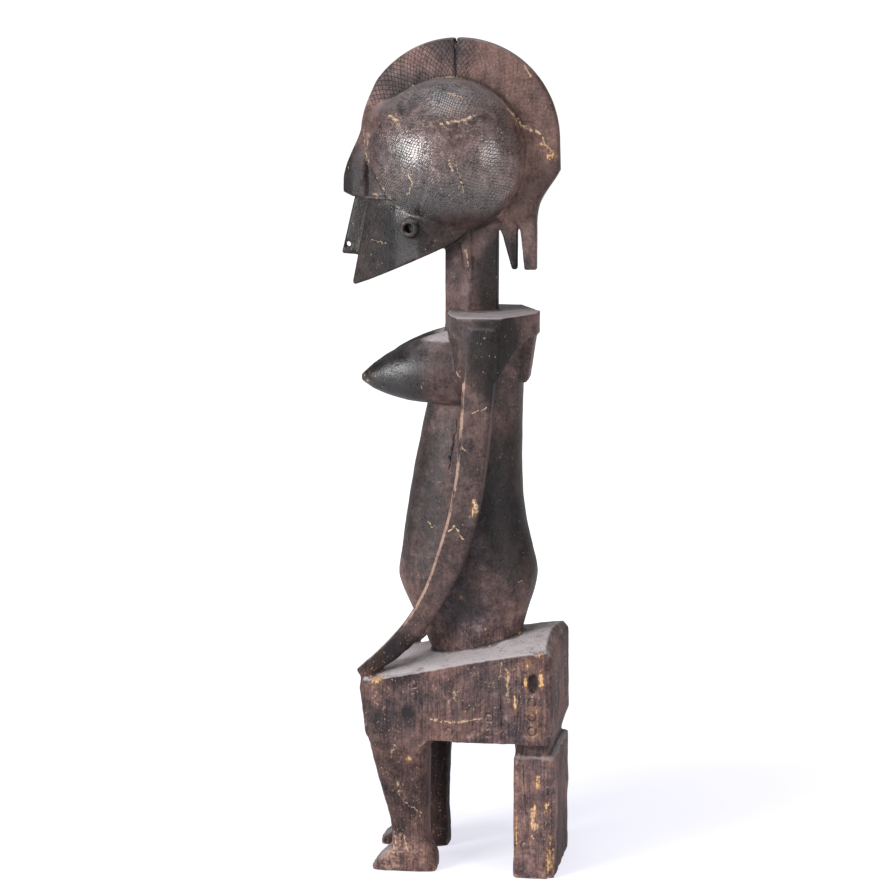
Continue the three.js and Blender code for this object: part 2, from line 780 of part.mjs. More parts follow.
const rightLeg = leg().mirror([1, 0, 0]).translate([0, rightLegBack, 0]);
const longerFoot = foot(footLength + rightFootLonger);
const rightFoot = longerFoot.mirror([1, 0, 0]).translate([0, rightFootBack, 0]);
const seatBlock = seat().subtract(kneeGap());
const lower = joined([seatBlock, leg(), foot(footLength), rightLeg, rightFoot, post()]);
const rightArm = arm(rightHandBack).mirror([1, 0, 0]);
const body = joined([trunk(), withMirror(breast()), yoke(), arm(0), rightArm]);
const tails = joined([plait(), napeTail(), withMirror(sideTress())]);
const hair = joined([crest().subtract(crack()), tails, withMirror(lobe())]);
const skull = joined([neck(), face(), brow(), nose(), ears(), hair]);
const head = skull.subtract(noseHole()).subtract(earBores());
const figure = joined([lower, body, head]);

// The whole solid as a mesh, its box centred on the origin and standing on Z = 0
function figureMesh() {
  const mesh = figure.getMesh();
  const geometry = new THREE.BufferGeometry();
  geometry.setAttribute('position', new THREE.BufferAttribute(Float32Array.from(mesh.vertProperties), 3));
  geometry.setIndex(new THREE.BufferAttribute(Uint32Array.from(mesh.triVerts), 1));
  geometry.computeBoundingBox();
  const box = geometry.boundingBox;
  geometry.translate(-(box.min.x + box.max.x) / 2, -(box.min.y + box.max.y) / 2, -box.min.z);
  geometry.computeVertexNormals();
  const wood = new THREE.MeshStandardMaterial({ color: woodColour, roughness: 0.5, metalness: 0 });
  const result = new THREE.Mesh(geometry, wood);
  result.name = 'seated_figure';
  return result;
}

const group = new THREE.Group();
group.name = 'seated_female_figure';
group.add(figureMesh());

export default group;
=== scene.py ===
import math

import bmesh
import bpy
import numpy as np
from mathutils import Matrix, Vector
from mathutils.kdtree import KDTree


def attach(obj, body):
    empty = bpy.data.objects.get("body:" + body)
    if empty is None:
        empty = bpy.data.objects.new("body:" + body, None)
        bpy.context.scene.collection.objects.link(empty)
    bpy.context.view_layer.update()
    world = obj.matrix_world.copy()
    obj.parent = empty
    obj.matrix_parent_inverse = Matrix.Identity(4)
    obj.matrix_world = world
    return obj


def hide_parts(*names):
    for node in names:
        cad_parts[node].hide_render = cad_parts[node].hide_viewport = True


bl_info = {
    "name": "Seated wooden figure",
    "version": (1, 0, 0),
    "blender": (4, 5, 0),
    "location": "View3D > Sidebar > Figure",
    "description": "Carved surface, old wood finish, stage and camera for a seated female wooden figure",
    "category": "Object",
}

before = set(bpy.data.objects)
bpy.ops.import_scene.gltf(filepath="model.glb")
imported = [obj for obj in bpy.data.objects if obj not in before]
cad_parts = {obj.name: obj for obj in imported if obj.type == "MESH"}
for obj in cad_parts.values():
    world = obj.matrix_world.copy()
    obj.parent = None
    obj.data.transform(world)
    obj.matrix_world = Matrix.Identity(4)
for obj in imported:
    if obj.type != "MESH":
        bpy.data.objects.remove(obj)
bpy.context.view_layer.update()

NODE = "seated_figure"
BODY = "root"
MM = 0.001

# Where the main forms lie, in millimetres in the part's own frame
LOBE = (0, -2.5, 585.5)
CREST = (0, 4.5, 598.4)
CREST_RADIUS = 81.6
LOBE_RADIUS = 62.5
SEAT_SIDE_X = 60.5
POST_SIDE_X = 47

# The cheek set back between the brow and the hair lobe: its upper corner (y, z), the way into it from the lobe's
# edge, its lower edge and its depth
CHEEK_TOP = (-66.4, 587)
CHEEK_WAY = (-0.8575, -0.5145)
CHEEK_FOOT = 553
CHEEK_DEPTH = 3.2

# How often joins and flat faces are smoothed, and how little a surface bends to count as flat
JOIN_PASSES = 110
FLAT_PASSES = 45
FLAT_BEND = 0.13

# Where the camera stands, in metres, and its turn about the vertical and tilt down, in degrees
CAMERA_PLACE = (2.0681, 0.3562, 0.690)
CAMERA_TURN = 100.0
CAMERA_TILT = 9.16

# Half the width of the floor, in metres
FLOOR_HALF = 6.0

# Columns of ring stamps on the sides of seat and post: the top ring (y, z), how many, and the step to the next
SIDE_COLUMNS = [
    ((-22.5, 163), 2, -10.5),
    ((7.1, 124.5), 1, -11),
    ((39.8, 137.7), 2, -12),
    ((74.8, 151.7), 3, -12),
]
POST_COLUMN = ((67.8, 27.7), 1, -12)
# The same on the seat's rear face, on each side of the middle, with the top ring as x, y, z
REAR_COLUMN = ((27, 94, 176), 6, -9.8)
# A stamp is laid on the surface by a ray that starts this far outside the wood, and is this long
RAY_START = 3
RAY_LENGTH = 12


class SizesOfCarving(bpy.types.PropertyGroup):
    carving_step: bpy.props.FloatProperty(
        name="Carving step",
        description="Size of the smallest cell that the blank is carved in",
        default=1.0 * MM,
        unit="LENGTH",
    )
    edge_passes: bpy.props.IntProperty(
        name="Edge rounding",
        description="How many times the knife edges are worn down",
        default=5,
        min=0,
    )
    facet_depth: bpy.props.FloatProperty(
        name="Tool mark depth",
        description="How far the hollows of the adze and knife go in",
        default=0.45 * MM,
        unit="LENGTH",
    )
    grain_depth: bpy.props.FloatProperty(
        name="Grain depth",
        description="How deep the weathered grain of the seat and legs is",
        default=0.3 * MM,
        unit="LENGTH",
    )
    ring_radius: bpy.props.FloatProperty(
        name="Stamp radius",
        description="Radius of each stamped ring",
        default=3.3 * MM,
        unit="LENGTH",
    )
    ring_groove: bpy.props.FloatProperty(
        name="Stamp groove",
        description="Half the width of the groove of a stamped ring",
        default=0.55 * MM,
        unit="LENGTH",
    )
    triangles: bpy.props.IntProperty(
        name="Triangles",
        description="The most triangles that the finished carving keeps",
        default=182000,
        min=1000,
    )


class FinishOfWood(bpy.types.PropertyGroup):
    black_wood: bpy.props.FloatVectorProperty(
        name="Blackened wood",
        description="Colour of the smoke-dark polished wood",
        subtype="COLOR",
        default=(0.027, 0.020, 0.022),
    )
    brown_wood: bpy.props.FloatVectorProperty(
        name="Brown wood",
        description="Colour of the wood where the patina is thinner",
        subtype="COLOR",
        default=(0.122, 0.067, 0.056),
    )
    # A dull grey film on the wood, which also stands in for the bluish sheen of reflected light: partly painted
    # sheen
    grey_film_and_sheen: bpy.props.FloatVectorProperty(
        name="Grey patina",
        description="Colour of the dull grey film on the wood",
        subtype="COLOR",
        default=(0.092, 0.081, 0.088),
    )
    # Colour of worn edges and rubbed spots, and of the painted highlight along the front edges of the arms
    worn_edge_and_highlight: bpy.props.FloatVectorProperty(
        name="Worn edge",
        description="Colour of edges rubbed by hands",
        subtype="COLOR",
        default=(0.29, 0.185, 0.14),
    )
    raw_wood: bpy.props.FloatVectorProperty(
        name="Raw wood",
        description="Colour of fresh wood in the chips",
        subtype="COLOR",
        default=(0.56, 0.36, 0.18),
    )
    dust: bpy.props.FloatVectorProperty(
        name="Dust",
        description="Colour of dust on the upward faces",
        subtype="COLOR",
        default=(0.43, 0.39, 0.40),
    )
    crust: bpy.props.FloatVectorProperty(
        name="Crust",
        description="Colour of the crust in the creases of the hair",
        subtype="COLOR",
        default=(0.32, 0.23, 0.16),
    )
    hatch_pitch: bpy.props.FloatProperty(
        name="Hatching step",
        description="Distance between the incised lines of the hair lobes",
        default=2.1 * MM,
        unit="LENGTH",
    )
    crest_pitch: bpy.props.FloatProperty(
        name="Crest hatching step",
        description="Distance between the incised lines of the crest",
        default=3.6 * MM,
        unit="LENGTH",
    )


class SetupOfStage(bpy.types.PropertyGroup):
    floor_colour: bpy.props.FloatVectorProperty(
        name="Floor colour",
        description="Colour of the plain floor",
        subtype="COLOR",
        default=(0.42, 0.42, 0.43),
    )
    floor_glow: bpy.props.FloatProperty(
        name="Floor glow",
        description="Light that the floor gives by itself, so that it stays white to its far edge",
        default=1.0,
        min=0,
    )
    sky_strength: bpy.props.FloatProperty(
        name="Room light",
        description="Strength of the even light all round",
        default=0.3,
        min=0,
    )
    left_power: bpy.props.FloatProperty(
        name="Left light",
        description="Power of the soft light before the figure",
        default=38,
        unit="POWER",
    )
    right_power: bpy.props.FloatProperty(
        name="Right light",
        description="Power of the soft light behind the figure",
        default=14,
        unit="POWER",
    )
    top_power: bpy.props.FloatProperty(
        name="Top light",
        description="Power of the soft light overhead",
        default=14,
        unit="POWER",
    )
    lens: bpy.props.FloatProperty(
        name="Lens",
        description="Focal length of the camera in millimetres",
        default=105.5,
    )


# Helpers for node trees


class Value:
    """A number socket that stands in a Python expression."""

    def __init__(self, graph, socket):
        self.graph = graph
        self.socket = socket

    def __add__(self, other):
        return self.graph.math("ADD", self, other)

    def __sub__(self, other):
        return self.graph.math("SUBTRACT", self, other)

    def __rsub__(self, other):
        return self.graph.math("SUBTRACT", other, self)

    def __mul__(self, other):
        return self.graph.math("MULTIPLY", self, other)

    def __truediv__(self, other):
        return self.graph.math("DIVIDE", self, other)

    __radd__ = __add__
    __rmul__ = __mul__


class Graph:
    """A node tree that is written as expressions."""

    def __init__(self, tree):
        self.tree = tree
        tree.nodes.clear()

    def node(self, kind, inputs=None, **settings):
        """Adds a node: its settings first, then the values or links of its sockets."""
        made = self.tree.nodes.new(kind)
        for name, value in settings.items():
            setattr(made, name, value)
        for key, value in (inputs or {}).items():
            socket = made.inputs[key]
            if isinstance(value, Value):
                value = value.socket
            if isinstance(value, bpy.types.NodeSocket):
                self.tree.links.new(value, socket)
            else:
                socket.default_value = value
        return made

    def value(self, kind, output, inputs=None, **settings):
        return Value(self, self.node(kind, inputs, **settings).outputs[output])

    def math(self, operation, *values):
        inputs = dict(enumerate(values))
        return self.value("ShaderNodeMath", 0, inputs, operation=operation)

    def smooth(self, value, low, high):
        """0 below low, 1 above high, and an even rise between them."""
        inputs = {"Value": value, "From Min": low, "From Max": high}
        return self.value("ShaderNodeMapRange", 0, inputs, interpolation_type="SMOOTHSTEP")

    def larger(self, first, second):
        return self.math("MAXIMUM", first, second)

    def attribute(self, name):
        return self.value("ShaderNodeAttribute", "Fac", attribute_name=name)

    def stretched(self, vector, scale):
        """A vector with each axis scaled."""
        made = self.node("ShaderNodeVectorMath", {0: vector, 1: scale}, operation="MULTIPLY")
        return made.outputs[0]

    def noise(self, vector, size, detail=2.0, roughness=0.5, distortion=0.0):
        """Even noise about 0.5; size is the width of its features in the vector's unit."""
        inputs = {
            "Vector": vector,
            "Scale": 1 / size,
            "Detail": detail,
            "Roughness": roughness,
            "Distortion": distortion,
        }
        return self.value("ShaderNodeTexNoise", 0, inputs)

    def vector(self, operation, inputs, output):
        return self.node("ShaderNodeVectorMath", inputs, operation=operation).outputs[output]

    def near_line(self, vector, start, end, width):
        """1 on the line from start to end, 0 beyond width from it."""
        way = end - start
        from_start = self.vector("SUBTRACT", {0: vector, 1: start}, 0)
        measure = way / way.length_squared
        along = Value(self, self.vector("DOT_PRODUCT", {0: from_start, 1: measure}, "Value"))
        along = self.math("MINIMUM", self.larger(along, 0.0), 1.0)
        foot = self.vector("SCALE", {0: way, "Scale": along}, 0)
        away = Value(self, self.vector("DISTANCE", {0: from_start, 1: foot}, "Value"))
        return 1 - self.smooth(away, width * 0.4, width)

    def colour(self, factor, first, second):
        """A mix of two colours."""
        inputs = {0: factor, 6: rgba(first), 7: rgba(second)}
        made = self.node("ShaderNodeMix", inputs, data_type="RGBA")
        return made.outputs[2]


def rgba(colour):
    """A colour as four numbers; a socket as it is."""
    if isinstance(colour, bpy.types.NodeSocket):
        return colour
    return (*colour[:3], 1.0)


# Fields on points, all in millimetres


def lattice(points, size, seed):
    """Even noise from -1 to 1 at each point, with features about as wide as size."""
    p = points / size + seed * 17.31
    cell = np.floor(p).astype(np.int64)
    part = p - cell
    part = part * part * (3 - 2 * part)
    total = np.zeros(len(p))
    for corner in range(8):
        step = np.array([corner & 1, corner >> 1 & 1, corner >> 2 & 1])
        c = cell + step
        key = (c[:, 0] * 73856093) ^ (c[:, 1] * 19349663) ^ (c[:, 2] * 83492791)
        key = (key ^ (key >> 13)) * 1274126177 & 0x7FFFFFFF
        value = (key & 0xFFFF) / 32767.5 - 1
        share = np.where(step, part, 1 - part).prod(axis=1)
        total += value * share
    return total


def layered(points, size, seed, layers=3):
    total = np.zeros(len(points))
    for i in range(layers):
        total += lattice(points, size / 2**i, seed + i) / 2**i
    return total / (2 - 0.5 ** (layers - 1))


def rise(value, low, high):
    t = np.clip((value - low) / (high - low), 0, 1)
    return t * t * (3 - 2 * t)


def patch(points, centre, radii, ragged=0.35, size=6.0, seed=1, inner=0.75, outer=1.1):
    """1 well inside an ellipsoid with a ragged edge, 0 outside it."""
    reach = np.linalg.norm((points - np.array(centre)) / np.array(radii), axis=1)
    share = np.zeros(len(points))
    near = reach < outer + 1.2 * ragged
    edge = reach[near] + ragged * layered(points[near], size, seed)
    share[near] = 1 - rise(edge, inner, outer)
    return share


# Chips and losses: centre, radii and depth in millimetres, and how raw the wood is in them
CHIPS = [
    ((60.5, 75.0, 167.5), (6, 4.2, 9.0), 4.2, 0.15),
    ((60.5, 69.5, 169.0), (4, 2.2, 8.0), 0.7, 1.0),
    ((60.5, 81.5, 170.0), (4, 2.4, 9.5), 0.9, 1.0),
    ((58.0, 80.0, 191.5), (7, 4.5, 4.0), 1.2, 0.9),
    ((60.5, 72.0, 180.0), (4, 5.0, 9.0), 0.4, 0.55),
    ((60.5, 61.0, 151.0), (4, 1.8, 11.0), 0.5, 0.9),
    ((60.5, 55.0, 172.0), (4, 1.1, 14.0), 0.4, 0.7),
    ((60.5, 77.0, 135.0), (4, 9.0, 22.0), 0.25, 0.42),
    ((47.0, 78.2, 82.0), (4, 2.8, 6.5), 0.6, 1.0),
    ((47.0, 86.0, 62.0), (4, 2.8, 9.0), 0.8, 1.0),
    ((47.0, 74.5, 48.0), (4, 3.2, 17.0), 0.5, 0.85),
    ((46.5, 88.5, 14.0), (5, 4.5, 19.0), 1.6, 1.0),
    ((46.0, 60.5, 36.0), (3, 1.8, 18.0), 0.7, 0.85),
    ((56.5, -27.5, 99.8), (5, 2.6, 3.2), 0.5, 1.0),
    ((37.7, 13.0, 230.6), (4, 1.8, 2.4), 0.5, 0.6),
    ((32.1, 31.9, 205.2), (4, 1.8, 2.4), 0.6, 1.0),
    ((8.8, 57.3, 197.4), (4, 1.8, 2.2), 0.6, 1.0),
    ((54.0, -52.0, 164.5), (7, 11.0, 3.0), 0.9, 0.8),
    ((8.0, 80.9, 587.5), (6, 5.0, 6.5), 0.6, 0.8),
    ((8.0, 73.0, 595.5), (6, 4.5, 1.8), 0.4, 0.7),
    ((65.0, 28.8, 310.0), (5, 4.5, 8.0), 0.3, 0.5),
]

# Points down the crack at the top of the crest
CREST_CRACK = [(0, 1.5 + 0.25 * i, 684 - 5.2 * i) for i in range(8)]

# Drying cracks: points down the line, the way across it, the way in, and its width and depth in millimetres
CRACKS = [
    (CREST_CRACK, (0, 1, 0), (1, 0, 0), 2.2, 12),
    (CREST_CRACK, (0, 1, 0), (-1, 0, 0), 2.2, 12),
    ([(31.0 + 0.2 * i, 8.5 - 0.9 * i, 372 - 5.5 * i) for i in range(8)], (0.1, 1, 0), (-1, 0, 0), 0.6, 3),
    ([(60.5, 48.5 + 0.3 * i, 170 - 5 * i) for i in range(9)], (0, 1, 0), (-1, 0, 0), 0.9, 2.5),
    ([(60.5, 64.5 - 0.3 * i, 158 - 5 * i) for i in range(8)], (0, 1, 0), (-1, 0, 0), 0.8, 2.5),
    ([(47, 66 + 0.4 * i, 96 - 7 * i) for i in range(8)], (0, 1, 0), (-1, 0, 0), 0.8, 2.5),
]

# Scratches and drips of pale crust: points along each in millimetres, half its width, and its share
SCRATCHES = [
    ([(14.6, 46.3, 623.8), (7.5, 56.5, 610.9), (7.5, 70.3, 605.0)], 1.5, 0.90),
    ([(7.5, 71.0, 605.0), (7.5, 74.4, 597.4), (7.5, 81.1, 588.6)], 1.2, 0.80),
    ([(56.6, 5.5, 586.0), (55.6, 8.7, 576.2)], 0.7, 0.80),
    ([(55.5, 12.0, 581.7), (53.8, 14.6, 570.8), (50.4, 16.6, 559.7)], 0.6, 0.70),
    ([(37.5, 1.1, 636.2), (37.6, 12.2, 634.0), (41.1, 16.1, 628.8)], 0.8, 0.60),
    ([(52.0, -0.8, 613.4), (49.6, 14.2, 615.0), (44.1, 24.4, 619.2)], 1.6, 0.80),
    ([(7.1, 58.4, 657.5), (7.5, 63.4, 648.8)], 0.8, 0.60),
    ([(19.6, -63.3, 518.5), (27.2, -50.4, 516.4)], 0.5, 0.60),
    ([(20.0, 13.4, 511.2), (20.0, 16.1, 495.7)], 0.9, 0.60),
    ([(36.9, -45.4, 618.5), (42.8, -38.0, 615.0)], 1.5, 0.80),
    ([(52.3, -26.3, 572.5), (51.3, -24.3, 565.9), (46.4, -28.6, 556.8)], 0.9, 0.80),
    ([(64.9, 7.9, 290.1), (65.0, 11.9, 295.3), (64.8, 19.5, 285.4)], 0.9, 0.90),
    ([(63.4, 26.7, 386.1), (63.2, 37.9, 390.9)], 0.8, 0.70),
    ([(65.0, 28.3, 316.9), (64.1, 29.7, 306.6)], 1.8, 1.00),
    ([(64.3, 18.1, 359.2), (64.4, 21.1, 356.1)], 0.8, 0.70),
    ([(33.0, -14.6, 292.2), (34.3, -12.1, 287.4), (35.1, -9.1, 289.7)], 0.7, 0.70),
    ([(26.7, 58.7, 243.1), (23.5, 62.3, 243.8)], 0.7, 0.70),
    ([(30.2, 34.6, 190.2), (60.5, 51.8, 184.9)], 0.8, 0.80),
    ([(60.5, -8.3, 134.4), (60.5, 13.4, 132.5), (60.5, 33.9, 137.6)], 1.0, 0.80),
    ([(60.5, 11.1, 159.2), (60.5, 11.1, 149.9)], 0.8, 0.60),
    ([(60.5, 54.1, 178.8), (60.5, 55.4, 152.4)], 1.5, 0.55),
    ([(60.5, 49.6, 183.2), (60.5, 48.5, 170.5)], 0.8, 0.60),
    ([(52.9, -36.2, 78.4), (51.1, -35.5, 67.3)], 1.2, 0.60),
    ([(56.6, -41.9, 100.3), (60.2, -38.2, 110.4)], 1.0, 0.60),
    ([(50.1, -32.2, 61.3), (47.7, -18.7, 51.8)], 0.6, 0.70),
    ([(45.7, -40.1, 29.2), (48.3, -41.5, 16.4)], 1.0, 0.80),
    ([(46.8, -32.9, 30.7), (47.8, -29.2, 18.1)], 1.0, 0.80),
    ([(47.0, 73.1, 58.4), (47.0, 75.5, 43.1)], 1.7, 0.80),
    ([(22, -69.5, 607), (26, -66, 588), (32, -61, 574), (34, -46.5, 554), (34, -34, 542)], 0.7, 0.5),
]

# Joins between forms that the carver eased: centre, radii and how much
SOFTENED = [
    ((0, -68, 604), (38, 30, 40), 1.0),
    ((48, -45, 108), (26, 30, 12), 1.0),
    ((-48, -42, 108), (26, 30, 12), 1.0),
    ((0, 66, 570), (16, 22, 34), 0.6),
    ((56, 17, 442), (14, 26, 9), 0.35),
    ((-56, 17, 442), (14, 26, 9), 0.35),
    ((0, 60, 105), (60, 40, 6), 0.12),
]

# Rubbed spots of tan wood on the hair, and other places where the patina is thin
RUBBED = [
    ((42, -39.6, 615.4), (9, 8, 9), 0.75),
    ((52, 6.2, 612.2), (9, 20, 8), 0.62),
    ((50, 22, 606), (9, 12, 9), 0.6),
    ((53, -24, 577), (9, 9, 10), 0.7),
    ((52, -30, 596), (9, 8, 14), 0.5),
    ((44, 44, 604), (12, 5, 8), 0.7),
    ((55, 18, 586), (9, 4, 7), 0.55),
    ((46, -2, 532), (9, 12, 6), 0.45),
    ((60, -40, 118), (8, 18, 36), 0.42),
    ((56, -38, 60), (9, 18, 30), 0.45),
    ((47, -45, 16), (12, 26, 18), 0.8),
    ((52, -50, 22), (9, 9, 8), 1.0),
    ((57, -48, 5), (6, 14, 5), 1.0),
    ((60.5, 35, 124), (5, 34, 4), 0.55),
    ((60.5, -48, 152), (5, 9, 12), 0.6),
    ((47, 78, 30), (5, 10, 34), 0.45),
    ((36, -68, 408), (14, 12, 12), 0.5),
    ((48, -40, 588), (14, 20, 30), 0.3),
    ((10, 78, 600), (8, 14, 22), 0.35),
]

# How pale or dark each region is made, the same on both sides: centre, radii and factor. Mostly painted shade
# and painted light, with some real differences of the patina: darker on the face, brow, cheeks, lower hair
# lobes, neck, under the shoulder yoke, on the breasts, torso and near legs, paler on the front of the crest, the
# seat, post, feet and rear faces
SHADE_AND_TONE_REGIONS = [
    ((0, -40, 642), (16, 52, 46), 1.35),
    ((0, 62, 636), (16, 46, 52), 0.85),
    ((46, -2, 538), (44, 62, 30), 0.36),
    ((0, -60, 512), (52, 54, 44), 0.2),
    ((0, -82, 568), (44, 24, 28), 0.32),
    ((30, -57, 560), (26, 9, 13), 0.5),
    ((0, 40, 484), (30, 22, 40), 0.22),
    ((0, 72, 556), (16, 30, 34), 0.5),
    ((58, -44, 186), (16, 34, 24), 0.38),
    ((60, 62, 432), (30, 42, 44), 0.18),
    ((0, -48, 408), (64, 54, 38), 0.18),
    ((0, -20, 310), (44, 30, 78), 0.56),
    ((0, 52, 305), (46, 44, 80), 0.32),
    ((0, 20, 200), (52, 66, 24), 1.55),
    ((60, 30, 140), (14, 80, 50), 1.35),
    ((44, 80, 50), (22, 30, 60), 1.75),
    ((45, -44, 70), (24, 34, 46), 0.75),
    ((45, -50, 14), (26, 44, 22), 1.25),
    ((60, 66, 140), (12, 26, 50), 1.25),
    ((0, 96, 120), (80, 10, 110), 1.35),
]

# Dark stains, and painted shade down the crack at the top of the crest and the crack in the torso
STAINS_AND_CRACK_SHADE = [
    ((60.5, -27, 138.7), (5, 6.5, 6.0), 0.95),
    ((58, -40, 186), (9, 9, 13), 0.8),
    ((60.5, 75, 168), (7, 5, 9.5), 0.75),
    ((60.5, -47, 132), (7, 9, 14), 0.45),
    ((60.5, -14, 130), (5, 30, 5), 0.25),
    # Painted shade down the crack at the top of the crest
    ((0, 3.4, 664), (13, 2.0, 22), 1.0),
    # Painted shade down the crack in the torso
    ((31, 5, 352), (6, 1.6, 22), 0.4),
    ((46, -66, 11), (14, 7, 8), 0.7),
    ((56, -34, 12), (8, 7, 9), 0.6),
    ((52, -36, 40), (9, 8, 10), 0.45),
    ((60.5, -30, 168), (5, 14, 6), 0.35),
]


def carving_fields(points, normals, bend):
    """Shares from 0 to 1 that steer the finish at each point, by name."""
    x, y, z = points.T
    side = np.abs(x)
    reach = np.hypot(y - LOBE[1], z - LOBE[2])
    fields = {}

    # Dust lies on what faces up: most on the seat, less on the shoulders, little on the hair and breasts
    seat_top = (z > 150) & (z < 215)
    share = np.where(z > 520, 0.25, np.where(seat_top, 1.0, np.where(z > 440, 0.8, 0.7)))
    share = share * (1 - 0.85 * rise(-y, 12, 22) * ((z > 366) & (z < 520)))
    share = share * np.where((z > 366) & (z < 440), 0.3, 1.0)
    share = share * (1 - 0.85 * rise(side, 48, 52) * rise(z, 425, 435) * (1 - rise(z, 452, 458)))
    fields["dust"] = rise(normals[:, 2] + 0.1 * layered(points, 14, 3), 0.42, 0.95) * share

    # Worn edges, and a painted highlight along the front edges of the arms; darkened creases, which are painted
    # shade
    seat_line = 164 + 0.19 * (y + 60)
    arm = rise(side, 42, 46) * rise(z - seat_line, 3, 10) * (1 - rise(z, 425, 460))
    base = 1 - rise(z, 108, 122)
    # The arms' painted edge highlight is strongest on edges that face forward
    front = 0.3 + 0.7 * rise(-normals[:, 1], -0.1, 0.35)
    arm_edge_highlight = 0.85 * arm * front * rise(bend, 0.11, 0.28) * (0.35 + 0.65 * rise(z, 190, 235))
    fields["worn"] = np.maximum(rise(bend, 0.10, 0.40) * (0.22 + 0.35 * base), arm_edge_highlight)
    # Painted shade in the hollows
    fields["crease"] = rise(-bend, 0.05, 0.28)
    # Painted shade: a dark line round the rim of each hair lobe, where the lobe stands out from the head
    rim = 1 - rise(np.abs(reach - LOBE_RADIUS - 0.5), 0.4, 2.4)
    rim = rim * rise(side, 9, 13) * rise(z, 505, 530) * (1 - rise(z, 600, 625))
    fields["crease"] = np.maximum(fields["crease"], 0.6 * rim)

    # Chips, rubbed spots, stains, and painted shade in the cracks
    raw = np.zeros(len(points))
    for centre, radii, _, amount in CHIPS:
        raw = np.maximum(raw, amount * patch(points, centre, radii, 0.5, 4, 11, 0.1, 1.5))
    fields["raw"] = raw
    rubbed = np.zeros(len(points))
    for centre, radii, amount in RUBBED:
        rubbed = np.maximum(rubbed, amount * patch(points, centre, radii, 0.7, 9, 5))
    fields["rubbed"] = rubbed
    stain_and_crack_shade = np.zeros(len(points))
    for centre, radii, amount in STAINS_AND_CRACK_SHADE:
        stain_and_crack_shade = np.maximum(stain_and_crack_shade, amount * patch(points, centre, radii, 0.3, 6, 9))
    fields["stain_and_crack_shade"] = stain_and_crack_shade

    # Hatching, open grain and polish
    ring = np.hypot(y - CREST[1], z - CREST[2])
    on_lobe = (1 - rise(reach, LOBE_RADIUS - 5, LOBE_RADIUS)) * rise(side, 12, 17)
    fields["lobe"] = on_lobe * rise(z, 532, 552) * (1 - rise(-y, 50, 58))
    on_crest = rise(side, 4, 6) * (1 - rise(side, 8.5, 9.5)) * rise(reach, LOBE_RADIUS - 1, LOBE_RADIUS + 2)
    on_crest = on_crest * rise(z, 600, 612) * (1 - rise(ring, CREST_RADIUS - 3, CREST_RADIUS))
    fields["crest"] = on_crest * (1 - 0.75 * rise(y, 5, 22))
    low = 1 - rise(z, 196, 214)
    fields["rough"] = np.clip(low + 0.35 * rise(z, 430, 445) * (1 - rise(z, 464, 480)), 0, 1)
    face = rise(-y, 14, 34) * rise(z, 470, 485) * (1 - rise(z, 548, 556))
    breast = rise(-y, 0, 38) * rise(z, 366, 376) * (1 - rise(z, 452, 460))
    fields["gloss"] = np.clip(fields["lobe"] + 0.1 * face + 0.38 * breast + 0.12 * (1 - low), 0, 1)

    # How pale or dark each region is made (mostly painted shade and painted light), how warm the patina is and
    # how crusted
    crest_back = rise(z, 520, 560) * rise(y, 0, 40) * (1 - rise(side, 12, 20))
    tone = np.ones(len(points))
    mirrored = np.stack([side, y, z], axis=1)
    for centre, radii, factor in SHADE_AND_TONE_REGIONS:
        span = np.linalg.norm((mirrored - np.array(centre)) / np.array(radii), axis=1)
        tone = tone * factor ** (1 - rise(span, 0.75, 1.15))
    # Painted shade: the far leg is made much darker, and the arms somewhat darker
    far_leg_shade = rise(-x, -5, 20) * (1 - rise(z, 85, 125)) * (1 - rise(y, -5, 25))
    tone = tone * 0.72**arm * 0.4**far_leg_shade
    fields["tone"] = tone * 0.97
    fields["warm"] = np.clip(0.5 + 0.5 * layered(points, 60, 21) + 0.5 * crest_back - 0.5 * breast, 0, 1)
    near = 1 - rise(np.abs(reach - LOBE_RADIUS), 0.6, 2.6)
    broken = 0.35 + 0.9 * layered(points, 12, 51)
    fields["crust"] = near * rise(z, 520, 530) * rise(fields["crease"], 0.1, 0.6) * broken
    return fields


# Mesh work


def points_of(mesh):
    co = np.zeros(len(mesh.vertices) * 3)
    mesh.vertices.foreach_get("co", co)
    return co.reshape(-1, 3) / MM


def normals_of(mesh):
    no = np.zeros(len(mesh.vertices) * 3, np.float32)
    mesh.vertex_normals.foreach_get("vector", no)
    return no.reshape(-1, 3).astype(float)


def write_points(mesh, points):
    mesh.vertices.foreach_set("co", (points * MM).astype(np.float32).ravel())
    mesh.update()


class Neighbours:
    """Averages a value at each vertex with the vertices that it shares an edge with."""

    def __init__(self, mesh):
        edges = np.zeros(len(mesh.edges) * 2, np.int64)
        mesh.edges.foreach_get("vertices", edges)
        self.a, self.b = edges.reshape(-1, 2).T
        self.count = len(mesh.vertices)
        self.degree = self.total(np.ones(len(self.a)), np.ones(len(self.a)))

    def total(self, at_a, at_b):
        first = np.bincount(self.a, at_b, self.count)
        return first + np.bincount(self.b, at_a, self.count)

    def mean(self, values):
        columns = [self.total(v[self.a], v[self.b]) / self.degree for v in values.T]
        return np.stack(columns, axis=1)

    def smoothed(self, values, passes, share):
        """Values eased towards their neighbours; share is how far, one number or one for each vertex."""
        for _ in range(passes):
            values = values + share * (self.mean(values) - values)
        return values


def applied(obj):
    """The object's mesh with its modifiers in it, and the modifiers gone."""
    evaluated = obj.evaluated_get(bpy.context.evaluated_depsgraph_get())
    made = bpy.data.meshes.new_from_object(evaluated)
    obj.modifiers.clear()
    old, obj.data = obj.data, made
    bpy.data.meshes.remove(old)
    return obj


def blank(name, step):
    """A closed copy of the CAD solid, in small even cells."""
    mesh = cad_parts[NODE].data.copy()
    work = bmesh.new()
    work.from_mesh(mesh)
    bmesh.ops.remove_doubles(work, verts=work.verts, dist=1e-6)
    work.to_mesh(mesh)
    work.free()
    mesh.materials.clear()
    obj = bpy.data.objects.new(name, mesh)
    bpy.context.scene.collection.objects.link(obj)
    cells = obj.modifiers.new("cells", "REMESH")
    cells.mode = "VOXEL"
    cells.voxel_size = step
    return applied(obj)


